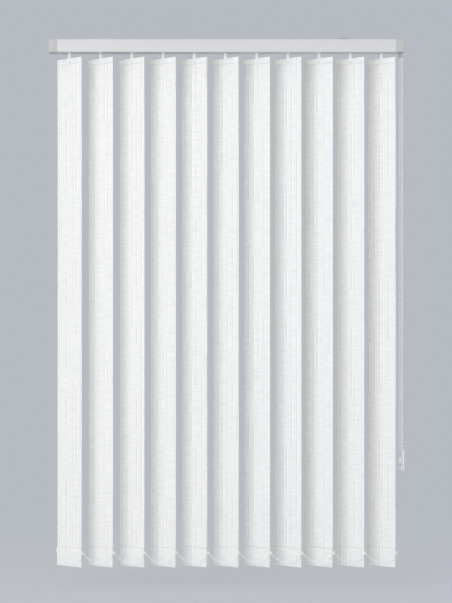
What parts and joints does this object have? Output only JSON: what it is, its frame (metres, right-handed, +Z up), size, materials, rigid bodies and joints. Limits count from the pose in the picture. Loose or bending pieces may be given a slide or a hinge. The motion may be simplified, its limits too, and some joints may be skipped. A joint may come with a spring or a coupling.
{
  "type": "vertical blind",
  "caption": "White vertical blind: a slotted headrail with end caps, turning and drawing fabric louvres with weighted hems, linking chains and a bead chain control loop.",
  "frame": {"origin": "on the ceiling plane that the brackets are screwed to, midway between their two screw holes, over the row of louvre axes", "axes": "+X along the headrail towards the control chain, +Y from the room towards the window, +Z up"},
  "size_m": [0.91, 0.0684, 1.3509],
  "materials": {
    "rail_finish": "satin white paint",
    "cap_plastic": "smooth white moulding",
    "bracket_steel": "plain spring steel",
    "bead_plastic": "glossy white beads",
    "rod_aluminium": "plain extruded",
    "gear_plastic": "pale grey moulding",
    "hook_plastic": "milky white moulding",
    "louvre_fabric": "white slub weave",
    "weight_coat": "white coated steel plate"
  },
  "bodies": {
    "rail": {"headrail": "rail_finish", "left_end_cap": "cap_plastic", "control_end_cap": "cap_plastic", "mounting_bracket_left": "bracket_steel", "mounting_bracket_right": "bracket_steel", "control_chain": "bead_plastic", "chain_tidy": "cap_plastic", "carrier_01": "gear_plastic"},
    "tilt_drive": {"tilt_rod": "rod_aluminium", "drive_sprocket": "gear_plastic"},
    "carrier_02": {"carrier_02": "gear_plastic"},
    "carrier_03": {"carrier_03": "gear_plastic"},
    "carrier_04": {"carrier_04": "gear_plastic"},
    "carrier_05": {"carrier_05": "gear_plastic"},
    "carrier_06": {"carrier_06": "gear_plastic"},
    "carrier_07": {"carrier_07": "gear_plastic"},
    "carrier_08": {"carrier_08": "gear_plastic"},
    "carrier_09": {"carrier_09": "gear_plastic"},
    "carrier_10": {"carrier_10": "gear_plastic"},
    "carrier_11": {"carrier_11": "gear_plastic"},
    "vane_01": {"hook_01": "hook_plastic", "louvre_01": "louvre_fabric", "bottom_weight_01": "weight_coat"},
    "vane_02": {"hook_02": "hook_plastic", "louvre_02": "louvre_fabric", "bottom_weight_02": "weight_coat"},
    "vane_03": {"hook_03": "hook_plastic", "louvre_03": "louvre_fabric", "bottom_weight_03": "weight_coat"},
    "vane_04": {"hook_04": "hook_plastic", "louvre_04": "louvre_fabric", "bottom_weight_04": "weight_coat"},
    "vane_05": {"hook_05": "hook_plastic", "louvre_05": "louvre_fabric", "bottom_weight_05": "weight_coat"},
    "vane_06": {"hook_06": "hook_plastic", "louvre_06": "louvre_fabric", "bottom_weight_06": "weight_coat"},
    "vane_07": {"hook_07": "hook_plastic", "louvre_07": "louvre_fabric", "bottom_weight_07": "weight_coat"},
    "vane_08": {"hook_08": "hook_plastic", "louvre_08": "louvre_fabric", "bottom_weight_08": "weight_coat"},
    "vane_09": {"hook_09": "hook_plastic", "louvre_09": "louvre_fabric", "bottom_weight_09": "weight_coat"},
    "vane_10": {"hook_10": "hook_plastic", "louvre_10": "louvre_fabric", "bottom_weight_10": "weight_coat"},
    "vane_11": {"hook_11": "hook_plastic", "louvre_11": "louvre_fabric", "bottom_weight_11": "weight_coat"},
    "front_chain": {"front_bottom_chain": "bead_plastic"},
    "rear_chain": {"rear_bottom_chain": "bead_plastic"}
  },
  "joints": [
    {"name": "vane_01_tilt", "type": "hinge", "parent": "rail", "child": "vane_01", "pos_m": [-0.4028, 0, 0], "axis": [0, 0, 1], "range_deg": [-128, 32]},
    {"name": "vane_02_tilt", "type": "hinge", "parent": "carrier_02", "child": "vane_02", "pos_m": [-0.3228, 0, 0], "axis": [0, 0, 1], "range_deg": [-128, 32]},
    {"name": "vane_03_tilt", "type": "hinge", "parent": "carrier_03", "child": "vane_03", "pos_m": [-0.2428, 0, 0], "axis": [0, 0, 1], "range_deg": [-128, 32]},
    {"name": "vane_04_tilt", "type": "hinge", "parent": "carrier_04", "child": "vane_04", "pos_m": [-0.1628, 0, 0], "axis": [0, 0, 1], "range_deg": [-128, 32]},
    {"name": "vane_05_tilt", "type": "hinge", "parent": "carrier_05", "child": "vane_05", "pos_m": [-0.0828, 0, 0], "axis": [0, 0, 1], "range_deg": [-128, 32]},
    {"name": "vane_06_tilt", "type": "hinge", "parent": "carrier_06", "child": "vane_06", "pos_m": [-0.0028, 0, 0], "axis": [0, 0, 1], "range_deg": [-128, 32]},
    {"name": "vane_07_tilt", "type": "hinge", "parent": "carrier_07", "child": "vane_07", "pos_m": [0.0772, 0, 0], "axis": [0, 0, 1], "range_deg": [-128, 32]},
    {"name": "vane_08_tilt", "type": "hinge", "parent": "carrier_08", "child": "vane_08", "pos_m": [0.1572, 0, 0], "axis": [0, 0, 1], "range_deg": [-128, 32]},
    {"name": "vane_09_tilt", "type": "hinge", "parent": "carrier_09", "child": "vane_09", "pos_m": [0.2372, 0, 0], "axis": [0, 0, 1], "range_deg": [-128, 32]},
    {"name": "vane_10_tilt", "type": "hinge", "parent": "carrier_10", "child": "vane_10", "pos_m": [0.3172, 0, 0], "axis": [0, 0, 1], "range_deg": [-128, 32]},
    {"name": "vane_11_tilt", "type": "hinge", "parent": "carrier_11", "child": "vane_11", "pos_m": [0.3972, 0, 0], "axis": [0, 0, 1], "range_deg": [-128, 32]},
    {"name": "tilt_rod_turn", "type": "hinge", "parent": "rail", "child": "tilt_drive", "pos_m": [0, 0.0085, -0.019], "axis": [1, 0, 0], "range_deg": [-1024, 256]},
    {"name": "carrier_11_slide", "type": "slide", "parent": "rail", "child": "carrier_11", "axis": [-1, 0, 0], "range_m": [0, 0.62], "deforming": ["front_bottom_chain", "rear_bottom_chain"]},
    {"name": "carrier_10_slide", "type": "slide", "parent": "rail", "child": "carrier_10", "axis": [-1, 0, 0], "range_m": [0, 0.558]},
    {"name": "carrier_09_slide", "type": "slide", "parent": "rail", "child": "carrier_09", "axis": [-1, 0, 0], "range_m": [0, 0.496]},
    {"name": "carrier_08_slide", "type": "slide", "parent": "rail", "child": "carrier_08", "axis": [-1, 0, 0], "range_m": [0, 0.434]},
    {"name": "carrier_07_slide", "type": "slide", "parent": "rail", "child": "carrier_07", "axis": [-1, 0, 0], "range_m": [0, 0.372]},
    {"name": "carrier_06_slide", "type": "slide", "parent": "rail", "child": "carrier_06", "axis": [-1, 0, 0], "range_m": [0, 0.31]},
    {"name": "carrier_05_slide", "type": "slide", "parent": "rail", "child": "carrier_05", "axis": [-1, 0, 0], "range_m": [0, 0.248]},
    {"name": "carrier_04_slide", "type": "slide", "parent": "rail", "child": "carrier_04", "axis": [-1, 0, 0], "range_m": [0, 0.186]},
    {"name": "carrier_03_slide", "type": "slide", "parent": "rail", "child": "carrier_03", "axis": [-1, 0, 0], "range_m": [0, 0.124]},
    {"name": "carrier_02_slide", "type": "slide", "parent": "rail", "child": "carrier_02", "axis": [-1, 0, 0], "range_m": [0, 0.062]},
    {"name": "front_chain_swivel", "type": "hinge", "parent": "vane_01", "child": "front_chain", "pos_m": [-0.36743, -0.03185, -1.3129], "axis": [0, 0, 1], "range_deg": [-32, 128]},
    {"name": "rear_chain_swivel", "type": "hinge", "parent": "vane_01", "child": "rear_chain", "pos_m": [-0.43817, 0.03185, -1.3129], "axis": [0, 0, 1], "range_deg": [-32, 128]}
  ],
  "couplings": [
    {"joint": "vane_01_tilt", "follows": "tilt_rod_turn", "ratio": 0.125},
    {"joint": "vane_02_tilt", "follows": "tilt_rod_turn", "ratio": 0.125},
    {"joint": "vane_03_tilt", "follows": "tilt_rod_turn", "ratio": 0.125},
    {"joint": "vane_04_tilt", "follows": "tilt_rod_turn", "ratio": 0.125},
    {"joint": "vane_05_tilt", "follows": "tilt_rod_turn", "ratio": 0.125},
    {"joint": "vane_06_tilt", "follows": "tilt_rod_turn", "ratio": 0.125},
    {"joint": "vane_07_tilt", "follows": "tilt_rod_turn", "ratio": 0.125},
    {"joint": "vane_08_tilt", "follows": "tilt_rod_turn", "ratio": 0.125},
    {"joint": "vane_09_tilt", "follows": "tilt_rod_turn", "ratio": 0.125},
    {"joint": "vane_10_tilt", "follows": "tilt_rod_turn", "ratio": 0.125},
    {"joint": "vane_11_tilt", "follows": "tilt_rod_turn", "ratio": 0.125},
    {"joint": "carrier_10_slide", "follows": "carrier_11_slide", "ratio": 0.9},
    {"joint": "carrier_09_slide", "follows": "carrier_11_slide", "ratio": 0.8},
    {"joint": "carrier_08_slide", "follows": "carrier_11_slide", "ratio": 0.7},
    {"joint": "carrier_07_slide", "follows": "carrier_11_slide", "ratio": 0.6},
    {"joint": "carrier_06_slide", "follows": "carrier_11_slide", "ratio": 0.5},
    {"joint": "carrier_05_slide", "follows": "carrier_11_slide", "ratio": 0.4},
    {"joint": "carrier_04_slide", "follows": "carrier_11_slide", "ratio": 0.3},
    {"joint": "carrier_03_slide", "follows": "carrier_11_slide", "ratio": 0.2},
    {"joint": "carrier_02_slide", "follows": "carrier_11_slide", "ratio": 0.1},
    {"joint": "front_chain_swivel", "follows": "tilt_rod_turn", "ratio": -0.125},
    {"joint": "rear_chain_swivel", "follows": "tilt_rod_turn", "ratio": -0.125}
  ]
}
